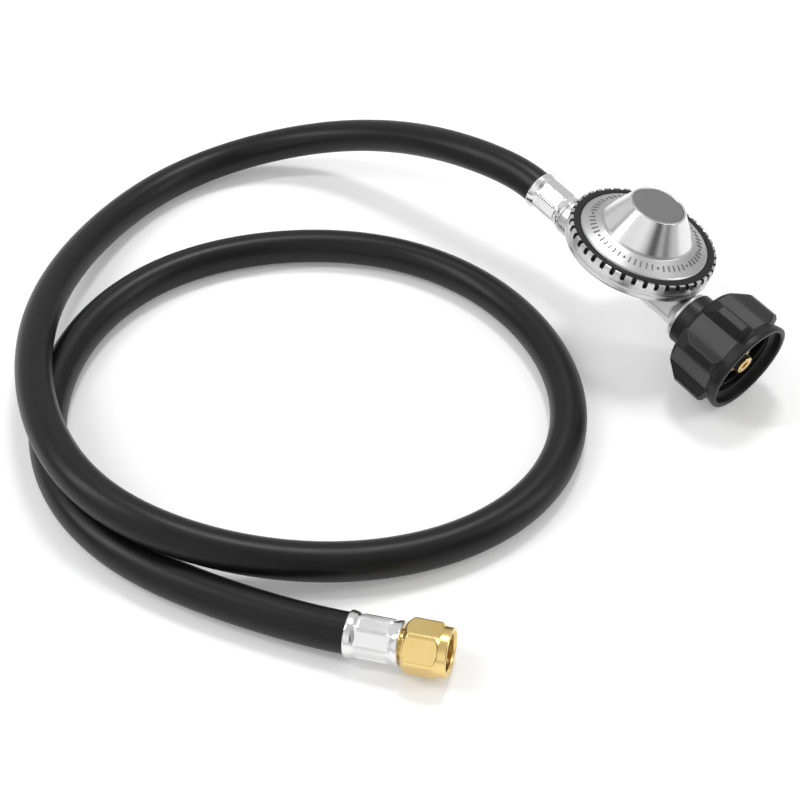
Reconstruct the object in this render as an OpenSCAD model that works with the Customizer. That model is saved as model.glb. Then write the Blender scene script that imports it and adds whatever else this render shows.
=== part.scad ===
// Propane regulator hose: a low-pressure LP gas regulator with a hand-tightened
// cylinder nut at one end, and a rubber hose that ends in a swivel flare nut.
//
// Two local frames are used. The regulator's has X along the gas line towards the
// cylinder nut, Z up through the tower, and its origin where the two cross. The end
// fitting's has X along the hose's end, with its origin at the ferrule's mouth.
// The part's own frame has its origin on the ground, below the middle of the
// regulator, with +X the way the cylinder nut points.

/* [Lie of the part] */
// Angle that the gas line dips towards the cylinder nut, in degrees
nose_down = 9; // [7:0.5:11]
// Angle that the tower leans towards +Y, in degrees
lean = 10.5; // [8:0.5:13]
// Height of the gas line below the tower, above the ground
line_height = 34.85; // [34.85:0.05:40]

/* [Regulator body] */
// Outer radius of the body's crimped rim
rim_r = 34.4; // [34:0.1:36]
// Height of the crimped rim's top edge above the gas line
rim_top = 18.2; // [18:0.1:18.6]
// Number of notches between the crimped teeth
notch_count = 42; // [24:1:48]
// Width of a notch
notch_w = 2; // [1.2:0.1:2.4]
// Radius of the outlet chamber inside the body
chamber_r = 28; // [26:0.5:29]
// Radius over the corners of the hexagonal inlet neck
neck_r = 8.5; // [8.4:0.1:9.2]
// Radius of the shoulder that the cylinder nut backs against
shoulder_r = 11.6; // [11:0.1:12.2]

/* [Bonnet] */
// Radius where the bonnet meets the seal ring
plate_r = 29.8; // [29:0.1:30.5]
// Radius of the tower at its foot
tower_foot_r = 20.6; // [19:0.1:22]
// Radius of the tower at its top
tower_top_r = 12.8; // [12.4:0.1:14]
// Height of the tower's foot above the gas line
tower_foot_z = 22.8; // [22:0.1:24]
// Height of the tower's top above the gas line
tower_top_z = 35.3; // [34:0.1:37]

/* [Cylinder nut] */
// Distance from the tower's axis to the nut's open end
nut_mouth_x = 73.2; // [73:0.1:74]
// Radius of the nut's body
nut_r = 21; // [20.5:0.1:21.5]
// Radius of the flared rim round the nut's open end
nut_rim_r = 22; // [21.6:0.1:23]
// Radius over the grip ribs
rib_top_r = 24.8; // [24:0.1:25.5]
// Number of grip ribs
rib_count = 7; // [5:1:8]
// Angle that the grip ribs are turned by, in degrees
rib_turn = 24.5; // [0:0.5:51]
// Radius of the nut's thread, at the crest
acme_r = 16.4; // [16:0.1:16.7]
// Radius of the nut's back collar
collar_r = 12.4; // [12.2:0.1:13]

/* [Hose and fittings] */
// Outer diameter of the hose
hose_d = 16; // [16:0.1:16.1]
// Length of a crimped ferrule
ferrule_l = 21; // [20:0.5:22]
// Width of a ferrule across its crimped flats
ferrule_flats = 15.6; // [15.4:0.1:16]
// Width of the flare nut across its flats
hex_flats = 19.05; // [19:0.05:20]
// Length of the flare nut's hexagon
hex_l = 13.8; // [13:0.1:14.5]
// Length of the flare nut's round nose
nose_l = 3.4; // [3:0.1:4]
// Radius of the flare nut's thread, at the crest
flare_thread_r = 7.25; // [7.2:0.05:7.3]
// Angle that the flare nut is turned by, in degrees
hex_turn = 14; // [0:1:59]

/* [Motion] */
// Travel of the diaphragm and its plate
diaphragm_travel = 2.4; // [2:0.1:2.4]
// End float of the cylinder nut along the nipple
nut_float = 2.4; // [1:0.1:2.4]

/* [Hidden] */

// Where the regulator's frame stands
reg_x = -7.25;
reg_y = -2.3;

// Body and clamp
seat_z = 15.2;
lip_in_r = 33;
flange_top_z = 16.9;
diaphragm_t = 0.7;
floor_z = -5.5;
foot_z = -7.6;
gallery_r = 7.4;
vent_r = 2;

// Gas line
root_r = 6.6;
root_x0 = 26;
neck_turn = 38;
shoulder_x = 36.9;
boss_end_x = 39.2;
barb_gap = 0.3;

// Lever and poppet
pivot_x = -14;
pivot_z = 8;
pivot_r = 1.2;
poppet_r = 3.95;
tail_r = 2.4;
pad_r = 2.9;
pad_face_x = 15.7;
shut_gap = 0.08;

// Orifice, which the pad meets after its part of the diaphragm's travel
orifice_x0 = pad_face_x + diaphragm_travel * pivot_z / -pivot_x + shut_gap;
orifice_x1 = 25;
orifice_r = 4.8;

// Cylinder nut, measured from the back of its collar
nut_l = 36;
nut_x0 = nut_mouth_x - nut_l;
web_u0 = 8.6;
web_u1 = 13;
bushing_flange_t = 2;
shank_r = 6.5;
nipple_flange_u = web_u1 + bushing_flange_t + nut_float + 0.2;
nose_tip_u = 33.5;
nose_seat_u = 28;
excess_seat_x = 55;

// Hose and its fittings, measured from a ferrule's mouth
hose_r = hose_d / 2;
mouth_depth = 2;
tail_end = 18;
barb_r = 4.75;
crimp_in_r = 6.7;
lock_r = 5.6;
ferrule_x = boss_end_x + barb_gap + ferrule_l;
nut_gap = 1.3;
hex_x0 = ferrule_l + nut_gap;
stem_neck_r = 5.4;
running = 0.05;
rings_per_span = 3;

// Where the end fitting's frame stands, and the way it points
end_pos = [54, -214.5, 9.2];
end_turn = 34.4;
end_rise = 4;

// ---- Helpers ----

// Puts a piece that is drawn in the regulator's frame in its place
module in_regulator() {
    translate([reg_x, reg_y, line_height])
        rotate([0, nose_down, 0])
            rotate([-lean, 0, 0])
                children();
}

// Puts a piece that is drawn in the end fitting's frame in its place
module in_end_fitting() {
    translate(end_pos)
        rotate([0, -end_rise, end_turn])
            children();
}

// A turned piece along X: each point of the outline is [x, radius]
module turned_x(outline, sides = 64) {
    rotate([90, 0, 90])
        rotate_extrude($fn = sides)
            polygon([for (p = outline) [p[1], p[0]]]);
}

// A round bar along X from x0 to x1
module bar_x(r, x0, x1, sides = 48) {
    translate([x0, 0, 0])
        rotate([0, 90, 0])
            cylinder(r = r, h = x1 - x0, $fn = sides);
}

// A straight tube along X
module tube_x(r_out, r_in, x0, x1) {
    turned_x([[x0, r_in], [x1, r_in], [x1, r_out], [x0, r_out]]);
}

// A turned piece along Z: each point of the outline is [radius, z]
module turned_z(outline, sides = 96) {
    rotate_extrude($fn = sides)
        polygon(outline);
}

// Points of an arc in a turned outline
function arc(cx, cy, r, a0, a1, n) =
    [for (i = [0:n]) let (a = a0 + (a1 - a0) * i / n) [cx + r * cos(a), cy + r * sin(a)]];

function unit(v) = v / norm(v);

// A ring of points round a path's point, across the direction t, with up-vector side v
function ring(p, t, v, r, sides) =
    let (w = cross(t, v))
    [for (k = [0:sides - 1]) let (a = 360 * k / sides) p + r * (cos(a) * v + sin(a) * w)];

// The part of v that lies across t, as a unit vector
function across(v, t) = unit(v - (v * t) * t);

// A closed tube round a path, each ring square to the path
module swept_tube(path, r, sides, up) {
    n = len(path);
    dirs = [for (i = [0:n - 1]) unit(path[min(i + 1, n - 1)] - path[max(i - 1, 0)])];
    points = [for (i = [0:n - 1]) each ring(path[i], dirs[i], across(up, dirs[i]), r, sides)];
    walls = [for (i = [0:n - 2], k = [0:sides - 1])
        let (a = i * sides + k, b = i * sides + (k + 1) % sides)
        [a, a + sides, b + sides, b]];
    caps = [[for (k = [0:sides - 1]) k],
            [for (k = [sides - 1:-1:0]) (n - 1) * sides + k]];
    polyhedron(points, concat(walls, caps), convexity = 10);
}

// A compression spring along Z
module coil_spring(r, wire, length, turns) {
    steps = 14;
    path = [for (i = [0:turns * steps])
        let (a = 360 * i / steps)
        [r * cos(a), r * sin(a), wire + (length - 2 * wire) * i / (turns * steps)]];
    swept_tube(path, wire, 6, [0, 0, 1]);
}

// ---- Regulator body ----

// Outside of the cast bowl, from its foot to the crimped lip
function bowl_outline() =
    [[0, foot_z], [8.6, foot_z], [rim_r - 1.2, 9.1], [rim_r - 0.4, 9.5], [rim_r, 10.2],
     [rim_r, 12.2], [rim_r - 0.25, 12.8], [rim_r - 0.25, 13.4], [rim_r, 14],
     [rim_r, rim_top - 0.7], [rim_r - 0.7, rim_top], [lip_in_r, rim_top],
     [lip_in_r, seat_z], [0, seat_z]];

// The hollow under the diaphragm, as deep as the bowl's slope allows
function chamber_outline() =
    [[0, floor_z], [9, floor_z], [chamber_r, 7.4], [chamber_r, seat_z + 1], [0, seat_z + 1]];

// One notch between two crimped teeth, with a round foot
module crimp_notch() {
    translate([lip_in_r - 0.2, 0, 0]) {
        bar_x(notch_w / 2, 0, 3, 24);
        translate([0, -notch_w / 2, 0])
            cube([3, notch_w, 4]);
    }
}

// The casting's outside: bowl, hexagonal inlet neck with the nut's shoulder, and outlet boss
module body_outside() {
    turned_z(bowl_outline());
    rotate([neck_turn, 0, 0])
        rotate([0, 90, 0])
            cylinder(r = neck_r, h = shoulder_x - 1, $fn = 6);
    turned_x([[29, 0], [29, 7.3], [31, 7.4], [35.2, shoulder_r - 0.6], [35.4, shoulder_r],
              [shoulder_x - 0.4, shoulder_r], [shoulder_x, shoulder_r - 0.4],
              [shoulder_x, 0]]);
    turned_x([[-boss_end_x, 0], [-boss_end_x, 8.4], [-boss_end_x + 0.6, 9], [-30, 9],
              [-26, gallery_r], [0, gallery_r], [0, 0]]);
}

// Cast bowl with its necks and the crimped lip
module lower_body() {
    color("silver")
        in_regulator()
            difference() {
                union() {
                    difference() {
                        body_outside();
                        turned_z(chamber_outline());
                        // Gas way along the chamber's floor and out to the barb
                        bar_x(4.4, -30, 6);
                    }
                    // Valve boss inside the chamber
                    bar_x(7, 5, 27);
                    // Ears for the lever's pin
                    for (y = [-4.6, 2.8])
                        translate([pivot_x - 2.2, y, floor_z - 1])
                            cube([4.4, 1.8, pivot_z + 2.2 - floor_z + 1]);
                }
                // Notches of the crimped lip
                for (i = [0:notch_count - 1])
                    rotate([0, 0, (i + 0.5) * 360 / notch_count])
                        translate([0, 0, seat_z + 1.3])
                            crimp_notch();
                // Poppet's guide, orifice's seat and the nipple's thread
                bar_x(poppet_r + running, 4, orifice_x0 + 1);
                bar_x(orifice_r, orifice_x0, root_x0 + 1);
                bar_x(root_r, root_x0, shoulder_x + 1);
                // Gas windows beside the valve's seat
                translate([14.4, -7.4, -1.4])
                    cube([3.2, 14.8, 2.8]);
                // The barb's thread
                bar_x(root_r, -boss_end_x - 1, -28);
                // Pin's hole through both ears
                translate([pivot_x, 0, pivot_z])
                    rotate([90, 0, 0])
                        cylinder(r = pivot_r, h = 20, center = true, $fn = 32);
            }
}

// ---- Bonnet, clamp and adjusting parts ----

// Pressed cover with the spring tower
module bonnet() {
    color("silver")
        in_regulator()
            difference() {
                turned_z([[lip_in_r - 0.2, seat_z + 0.8], [lip_in_r - 0.2, flange_top_z],
                          [plate_r, flange_top_z], [plate_r, 18.2], [plate_r - 0.6, 18.8],
                          [tower_foot_r + 0.8, tower_foot_z - 0.6],
                          [tower_foot_r, tower_foot_z + 0.4],
                          [tower_top_r + 0.3, tower_top_z - 0.5], [tower_top_r, tower_top_z],
                          [tower_top_r - 0.9, tower_top_z], [tower_top_r - 0.9, tower_top_z - 1.6],
                          [10.4, tower_top_z - 1.6], [10.4, 26.5], [11.4, 26.5],
                          [17.6, 20.6], [27.2, 17.2], [27.4, seat_z + 0.8]]);
                translate(vent_spot())
                    cylinder(r = 1.2, h = 12, center = true, $fn = 32);
                translate(vent_spot())
                    cylinder(r = vent_r, h = 6, $fn = 32);
            }
}

// Middle of the vent, on the bonnet's sloping face away from the hose's coil
function vent_spot() = [25 * cos(117), 25 * sin(117), 19.2];

// Fine screen set in the vent
module vent_screen() {
    color("dimgray")
        in_regulator()
            translate(vent_spot())
                difference() {
                    cylinder(r = vent_r, h = 0.4, $fn = 32);
                    for (x = [-1:1], y = [-1:1])
                        translate([x * 0.9 - 0.25, y * 0.9 - 0.25, -1])
                            cube([0.5, 0.5, 3]);
                }
}

// Rubber ring between the bonnet's edge and the crimped teeth
module seal_ring() {
    color([0.08, 0.08, 0.08])
        in_regulator()
            turned_z(concat(
                [[plate_r, flange_top_z], [lip_in_r, flange_top_z], [lip_in_r, 17.9]],
                arc(31.4, 17.3, 1.35, 25, 155, 6),
                [[plate_r, 17.9]]));
}

// Disc pressed into the top of the tower
module tower_cap() {
    color("gray")
        in_regulator()
            turned_z([[0, tower_top_z - 1.6], [tower_top_r - 0.9, tower_top_z - 1.6],
                      [tower_top_r - 0.9, tower_top_z - 0.35], [tower_top_r - 1.2, tower_top_z - 0.1],
                      [0, tower_top_z - 0.1]]);
}

// Slotted screw that sets the spring's load
module adjusting_screw() {
    color("goldenrod")
        in_regulator()
            difference() {
                union() {
                    translate([0, 0, 28])
                        cylinder(r = 10.4, h = 5, $fn = 64);
                    translate([0, 0, 26.6])
                        cylinder(r = 5, h = 2, $fn = 48);
                }
                translate([0, 0, 31])
                    cylinder(r = 7.5, h = 3, $fn = 6);
            }
}

// Spring that loads the diaphragm
module main_spring() {
    color("gainsboro")
        in_regulator()
            translate([0, 0, 13.4])
                coil_spring(7.2, 0.9, 14.6, 5);
}

// Moulded rubber diaphragm with one convolution
module diaphragm() {
    t = diaphragm_t;
    color([0.12, 0.12, 0.12])
        in_regulator()
            turned_z([[2.8, 11.6], [19.4, 11.6], [20.6, 11.2], [22.4, 10.3], [24.4, 10.6],
                      [26, 12.6], [26.8, seat_z], [lip_in_r - 0.3, seat_z],
                      [lip_in_r - 0.3, seat_z + t], [26.2, seat_z + t], [25.3, 13],
                      [24, 11.3], [22.6, 11], [21, 11.9], [19.8, 12.3], [2.8, 12.3]]);
}

// Metal plate that the spring presses on
module diaphragm_plate() {
    color("lightsteelblue")
        in_regulator()
            turned_z([[2.5, 12.5], [19, 12.5], [19.4, 13.6], [18.9, 13.6], [18.5, 13.3],
                      [2.5, 13.3]]);
}

// Rivet through the plate and the diaphragm, slotted for the lever's tip
module diaphragm_stem() {
    color("gold")
        in_regulator()
            difference() {
                union() {
                    translate([0, 0, 5.2])
                        cylinder(r = 2.5, h = 8.8, $fn = 48);
                    translate([0, 0, 10.3])
                        cylinder(r = 8, h = 1, $fn = 64);
                    translate([0, 0, 13.3])
                        cylinder(r = 4, h = 0.9, $fn = 48);
                }
                translate([-5, -1.6, pivot_z - 1.2])
                    cube([10, 3.2, 2.4]);
            }
}

// ---- Valve ----

// Bell crank between the diaphragm's stem and the valve's poppet
module lever() {
    color("slategray")
        in_regulator()
            translate([pivot_x, 0, pivot_z])
                difference() {
                    union() {
                        rotate([90, 0, 0])
                            cylinder(r = 2.2, h = 5, center = true, $fn = 48);
                        // Long arm, to the stem
                        translate([0, -1.2, -0.5])
                            cube([-pivot_x + 1.5, 2.4, 1]);
                        // Short arm, to the poppet
                        translate([-0.7, -1, -pivot_z - 1.2])
                            cube([1.4, 2, pivot_z + 1]);
                    }
                    rotate([90, 0, 0])
                        cylinder(r = pivot_r + running, h = 8, center = true, $fn = 48);
                }
}

// Pin that the lever turns on
module lever_pin() {
    color("lightgray")
        in_regulator()
            translate([pivot_x, 0, pivot_z])
                rotate([90, 0, 0])
                    cylinder(r = pivot_r, h = 9.6, center = true, $fn = 32);
}

// Sliding poppet that carries the valve's seat pad
module valve_poppet() {
    color("tan")
        in_regulator()
            difference() {
                union() {
                    bar_x(poppet_r, 5.6, 14.2);
                    bar_x(tail_r, pivot_x - 3.6, 6);
                }
                // Slot for the lever's short arm
                translate([pivot_x - 1.3, -1.25, -5])
                    cube([2.6, 2.5, 10]);
                // Recess for the pad
                bar_x(pad_r, 13.2, 15);
            }
}

// Rubber pad that closes the orifice
module valve_seat_pad() {
    color([0.15, 0.15, 0.15])
        in_regulator()
            bar_x(pad_r, 13.2, pad_face_x);
}

// Brass jet that the pad closes
module inlet_orifice() {
    color("gold")
        in_regulator()
            turned_x([[orifice_x0, 1], [orifice_x0, 1.7], [orifice_x0 + 0.5, 2.1],
                      [orifice_x0 + 1.2, 2.1], [orifice_x0 + 1.2, orifice_r],
                      [orifice_x1, orifice_r], [orifice_x1, 2.4], [orifice_x0 + 2.5, 1]]);
}

// ---- Nipple that goes into the cylinder's valve ----

// Sintered disc in the inner end of the nipple
module inlet_filter() {
    color("peru")
        in_regulator()
            bar_x(4.2, root_x0, root_x0 + 2.2);
}

// Brass nipple: threaded root, shank, flange and chamber for the excess flow valve
module inlet_nipple() {
    flange_x = nut_x0 + nipple_flange_u;
    color("gold")
        in_regulator()
            difference() {
                union() {
                    bar_x(root_r, root_x0, shoulder_x);
                    bar_x(shank_r, shoulder_x, nut_x0 + 27);
                    turned_x([[flange_x, 0], [flange_x, 10.4], [flange_x + 0.3, 10.7],
                              [flange_x + 2.1, 10.7], [flange_x + 2.4, 10.4],
                              [flange_x + 2.4, 0]]);
                    // Hexagon for the wrench, just behind the nose
                    translate([nut_x0 + 26.5, 0, 0])
                        rotate([0, 90, 0])
                            rotate([0, 0, 20])
                                cylinder(r = 6.4, h = nose_seat_u - 26.5 + 2.2, $fn = 6);
                }
                bar_x(4.2, root_x0 - 1, root_x0 + 2.2);
                bar_x(2.2, root_x0 + 1, excess_seat_x + 1);
                bar_x(3.6, excess_seat_x, nut_x0 + nose_seat_u);
                bar_x(4.2, nut_x0 + nose_seat_u, nut_x0 + 40);
            }
}

// Brass nose that seals in the cylinder's valve
module nipple_nose() {
    base_x = nut_x0 + nose_seat_u;
    tip_x = nut_x0 + nose_tip_u;
    color("gold")
        in_regulator()
            turned_x([[base_x, 1.8], [tip_x - 0.4, 1.8], [tip_x, 2.2], [tip_x, 3.7],
                      [tip_x - 0.4, 4.2], [base_x + 4.6, 4.2], [base_x + 4.6, 3.4],
                      [base_x + 2.9, 3.4], [base_x + 2.9, 4.2], [base_x, 4.2]]);
}

// Seal in the groove of the nose
module nipple_o_ring() {
    color([0.1, 0.1, 0.1])
        in_regulator()
            translate([nut_x0 + nose_seat_u + 3.75, 0, 0])
                rotate([0, 90, 0])
                    rotate_extrude($fn = 48)
                        translate([4, 0])
                            circle(r = 0.6, $fn = 20);
}

// Fluted poppet that shuts when the gas rushes
module excess_flow_poppet() {
    nose_x = excess_seat_x + 2.1;
    color("khaki")
        in_regulator()
            difference() {
                turned_x([[nose_x, 0], [nose_x, 2.4], [nose_x + 2.6, 2.7], [nose_x + 2.8, 3.55],
                          [nut_x0 + nose_seat_u - 0.3, 3.55], [nut_x0 + nose_seat_u - 0.3, 0]]);
                for (a = [0:120:240])
                    rotate([a, 0, 0])
                        translate([nose_x + 2.7, -3, 2.6])
                            cube([8, 6, 3]);
            }
}

// Light spring that holds the excess flow poppet open
module excess_flow_spring() {
    color("lightgray")
        in_regulator()
            translate([excess_seat_x, 0, 0])
                rotate([0, 90, 0])
                    coil_spring(3.15, 0.22, 4.8, 4);
}

// ---- Cylinder nut ----

// Flanged ring between the nut and the nipple, which melts in a fire
module thermal_bushing() {
    u0 = nut_x0 + web_u0 + 0.4;
    u1 = nut_x0 + web_u1 + 0.1;
    color("darkolivegreen")
        in_regulator()
            turned_x([[u0, shank_r + running], [u1 + bushing_flange_t, shank_r + running],
                      [u1 + bushing_flange_t, 12.6], [u1, 12.6], [u1, 9.5], [u0, 9.5]]);
}

// One grip rib, a block with sloping sides and ends
module grip_rib() {
    hull() {
        translate([nut_x0 + 10, -4.2, nut_r - 2])
            cube([22.5, 8.4, 2]);
        translate([nut_x0 + 15.5, -2, rib_top_r - 0.5])
            cube([14, 4, 0.5]);
    }
}

// The nut's grip ribs, clear of its bore
module grip_ribs() {
    for (k = [0:rib_count - 1])
        rotate([rib_turn + k * 360 / rib_count, 0, 0])
            grip_rib();
}

// Hand nut with the cylinder's thread inside
module cylinder_nut() {
    color([0.09, 0.09, 0.09])
        in_regulator()
            union() {
                translate([nut_x0, 0, 0])
                    turned_x([[0, 9], [0, collar_r - 0.5], [0.5, collar_r], [6.4, collar_r],
                              [7.6, collar_r + 1.2], [8.6, nut_r - 1], [9.6, nut_r - 0.3],
                              [30.5, nut_r], [nut_l - 1.4, nut_rim_r], [nut_l - 0.5, nut_rim_r],
                              [nut_l, nut_rim_r - 0.6], [nut_l, nut_rim_r - 1.9],
                              [nut_l - 0.6, nut_rim_r - 2.4], [nut_l - 3.6, nut_rim_r - 2.6],
                              [nut_l - 4.6, acme_r], [15.2 + nut_float, acme_r],
                              [web_u1, acme_r - 2], [web_u1, 9.5 + running],
                              [web_u0, 9.5 + running], [web_u0, 9]]);
                grip_ribs();
            }
}

// ---- Outlet and the hose's first ferrule ----

// Rings of the barb along a hose's stem, from x0 towards -X or +X
function barb_outline(x0, dir) =
    [for (i = [0:3]) each [[x0 + dir * (i * 3.6), barb_r - 0.5],
                           [x0 + dir * (i * 3.6 + 2.6), barb_r],
                           [x0 + dir * (i * 3.6 + 2.7), barb_r - 0.5]]];

// Brass stem that the hose is crimped on, screwed into the body
module outlet_barb() {
    x0 = -ferrule_x + mouth_depth;
    color("gold")
        in_regulator()
            turned_x(concat(
                [[x0, 3]], barb_outline(x0, 1),
                [[-ferrule_x + tail_end, barb_r], [-ferrule_x + tail_end, lock_r],
                 [-boss_end_x, lock_r], [-boss_end_x, root_r], [-28.5, root_r],
                 [-28.5, 3]]));
}

// A crimped ferrule, with its mouth at x = 0
module ferrule() {
    difference() {
        union() {
            turned_x([[0, 0], [0, 8.8], [0.5, 9.05], [0.9, 9.05], [2.4, 8.4], [4, 7.8], [4, 0]]);
            translate([3.4, 0, 0])
                rotate([0, 90, 0])
                    rotate([0, 0, 22.5])
                        cylinder(r = ferrule_flats / 2 / cos(22.5), h = ferrule_l - 6.2, $fn = 8);
            turned_x([[ferrule_l - 3.4, 0], [ferrule_l - 3.4, 7.8], [ferrule_l - 1.6, 8.2],
                      [ferrule_l - 0.8, 8.6], [ferrule_l - 0.3, 8.6], [ferrule_l, 8.3],
                      [ferrule_l, 0]]);
        }
        bar_x(hose_r + 0.05, -1, mouth_depth);
        bar_x(crimp_in_r, mouth_depth - 1, tail_end);
        bar_x(lock_r, tail_end - 1, ferrule_l + 1);
    }
}

// Ferrule at the regulator's end of the hose
module regulator_ferrule() {
    color("lightgray")
        in_regulator()
            translate([-ferrule_x, 0, 0])
                ferrule();
}

// The ends of the hose, squeezed between each stem and its ferrule
module crimped_hose_ends() {
    color([0.07, 0.07, 0.07]) {
        in_regulator()
            tube_x(crimp_in_r, barb_r, mouth_depth - ferrule_x, tail_end - ferrule_x);
        in_end_fitting()
            tube_x(crimp_in_r, barb_r, mouth_depth, tail_end);
    }
}

// ---- Hose ----

// A point on the gas line, at x in the regulator's frame
function on_gas_line(x) =
    [reg_x + x * cos(nose_down), reg_y, line_height - x * sin(nose_down)];

// A point on the end fitting's axis, at x in its frame
function on_end_axis(x) = end_pos
    + x * [cos(end_rise) * cos(end_turn), cos(end_rise) * sin(end_turn), sin(end_rise)];

// Points that steer the hose: over its own tail in a long hump, round one turn, and out
route_bends = [
    [-115, -10, 46], [-156, -18, 36], [-197, -35, 21], [-224, -69, 11], [-231, -115, 8],
    [-212, -167, 11], [-174, -215, 19], [-122, -248, 25], [-67, -262, 26], [-20, -249, 23],
    [19, -212, 12], [47, -164, 8], [53, -114, 8], [32, -71, 8], [-11, -44, 8], [-65, -38, 8],
    [-116, -57, 8], [-154, -99, 8], [-172, -150, 8], [-162, -200, 8], [-129, -240, 8],
    [-84, -263, 8], [-35, -262, 8], [8, -243, 8]];

// The whole route starts and ends square in the mouths of the two ferrules
route = concat([on_gas_line(mouth_depth - ferrule_x), on_gas_line(-75)], route_bends,
               [on_end_axis(-16), on_end_axis(mouth_depth)]);
route_last = len(route) - 1;

// A steering point, with one more past each end so that the curve reaches its ends
function steer(i) =
    i < 0 ? 2 * route[0] - route[1]
    : i > route_last ? 2 * route[route_last] - route[route_last - 1]
    : route[i];

// A point of the smooth curve that the route steers, at span i and parameter t
function on_hose(i, t) =
    (steer(i - 1) * pow(1 - t, 3)
     + steer(i) * (3 * pow(t, 3) - 6 * pow(t, 2) + 4)
     + steer(i + 1) * (-3 * pow(t, 3) + 3 * pow(t, 2) + 3 * t + 1)
     + steer(i + 2) * pow(t, 3)) / 6;

// The curve, with a straight millimetre at each end so that the end faces are square
function hose_path() = concat(
    [route[0], on_gas_line(mouth_depth - ferrule_x - 1)],
    [for (i = [0:route_last - 1], k = [0:rings_per_span - 1])
        if (i + k > 0)
            on_hose(i, k / rings_per_span)],
    [on_end_axis(mouth_depth - 1), route[route_last]]);

// The hose itself
module hose() {
    color([0.07, 0.07, 0.07])
        swept_tube(hose_path(), hose_r, 12, [0, 0, 1]);
}

// ---- End fitting ----

// Ferrule at the appliance's end of the hose
module end_ferrule() {
    color("lightgray")
        in_end_fitting()
            ferrule();
}

// Brass stem with the flared seat that the flare nut pulls up
module end_stem() {
    head_x = hex_x0 + 3;
    color("gold")
        in_end_fitting()
            turned_x(concat(
                [[mouth_depth, 3]], barb_outline(mouth_depth, 1),
                [[tail_end, barb_r], [tail_end, lock_r], [ferrule_l + 0.4, lock_r],
                 [ferrule_l + 0.6, stem_neck_r], [head_x, stem_neck_r],
                 [head_x + 1.5, 6.9], [head_x + 3.3, 6.9], [head_x + 3.3, 6.5],
                 [head_x + 0.2, 3.4], [head_x - 2, 3]]));
}

// Swivel nut with a 45 degree flare thread
module flare_nut() {
    hex_r = hex_flats / 2 / cos(30);
    nut_end = hex_l + nose_l;
    color("gold")
        in_end_fitting()
            translate([hex_x0, 0, 0])
                difference() {
                    union() {
                        intersection() {
                            rotate([hex_turn, 0, 0])
                                rotate([0, 90, 0])
                                    cylinder(r = hex_r, h = hex_l, $fn = 6);
                            turned_x([[0, 0], [0, 9.3], [1.2, hex_r + 0.05],
                                      [hex_l - 0.6, hex_r + 0.05], [hex_l, hex_r - 0.7],
                                      [hex_l, 0]]);
                        }
                        turned_x([[hex_l - 1, 0], [hex_l - 1, 9.4], [nut_end - 0.8, 9.4],
                                  [nut_end, 8.6], [nut_end, 0]]);
                    }
                    bar_x(stem_neck_r + running, -1, 3);
                    turned_x([[2, 0], [2, stem_neck_r + 0.6], [2.4, stem_neck_r + 0.6],
                              [3.9, 7.6], [6.8, 7.6], [6.8, 0]]);
                    bar_x(flare_thread_r, 6.7, nut_end + 1);
                    turned_x([[nut_end - 0.8, 0], [nut_end - 0.8, flare_thread_r],
                              [nut_end + 0.1, flare_thread_r + 0.9], [nut_end + 0.1, 0]]);
                }
}

lower_body();
bonnet();
seal_ring();
tower_cap();
adjusting_screw();
main_spring();
diaphragm();
diaphragm_plate();
diaphragm_stem();
lever();
lever_pin();
valve_poppet();
valve_seat_pad();
inlet_orifice();
inlet_filter();
inlet_nipple();
nipple_nose();
nipple_o_ring();
excess_flow_poppet();
excess_flow_spring();
thermal_bushing();
cylinder_nut();
vent_screen();
outlet_barb();
regulator_ferrule();
crimped_hose_ends();
hose();
end_ferrule();
end_stem();
flare_nut();
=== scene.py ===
"""Looks of the propane regulator hose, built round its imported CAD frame.

Shapes are drawn in millimetres in two local frames, as in the CAD source. The regulator's frame has X along
the gas line and Z up its tower, and the end fitting's frame has X along the hose's end. MM turns them into
metres.
"""

import math

import bmesh
import bpy
from mathutils import Matrix, Vector


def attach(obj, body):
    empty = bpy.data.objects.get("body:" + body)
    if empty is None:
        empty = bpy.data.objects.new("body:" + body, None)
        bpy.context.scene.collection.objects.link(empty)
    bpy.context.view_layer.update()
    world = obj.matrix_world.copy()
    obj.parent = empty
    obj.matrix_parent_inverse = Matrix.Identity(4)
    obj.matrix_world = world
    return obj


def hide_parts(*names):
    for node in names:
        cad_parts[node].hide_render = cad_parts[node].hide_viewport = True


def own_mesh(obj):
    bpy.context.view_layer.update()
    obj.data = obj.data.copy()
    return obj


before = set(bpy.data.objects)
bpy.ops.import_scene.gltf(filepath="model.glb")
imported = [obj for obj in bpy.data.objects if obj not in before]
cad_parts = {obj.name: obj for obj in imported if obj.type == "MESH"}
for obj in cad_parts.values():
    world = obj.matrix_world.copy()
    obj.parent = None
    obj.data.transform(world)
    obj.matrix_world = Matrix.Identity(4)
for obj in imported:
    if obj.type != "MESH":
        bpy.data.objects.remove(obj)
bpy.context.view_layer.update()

MM = 0.001
ROOT = "regulator_and_hose"

# ---- Where the two local frames stand ----

REGULATOR = (
    Matrix.Translation(Vector((-7.25, -2.3, 34.85)) * MM)
    @ Matrix.Rotation(math.radians(9), 4, "Y")
    @ Matrix.Rotation(math.radians(-10.5), 4, "X")
)
END_FITTING = (
    Matrix.Translation(Vector((54, -214.5, 9.2)) * MM)
    @ Matrix.Rotation(math.radians(34.4), 4, "Z")
    @ Matrix.Rotation(math.radians(-4), 4, "Y")
)

# ---- Sizes in millimetres, as in the CAD source ----

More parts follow.
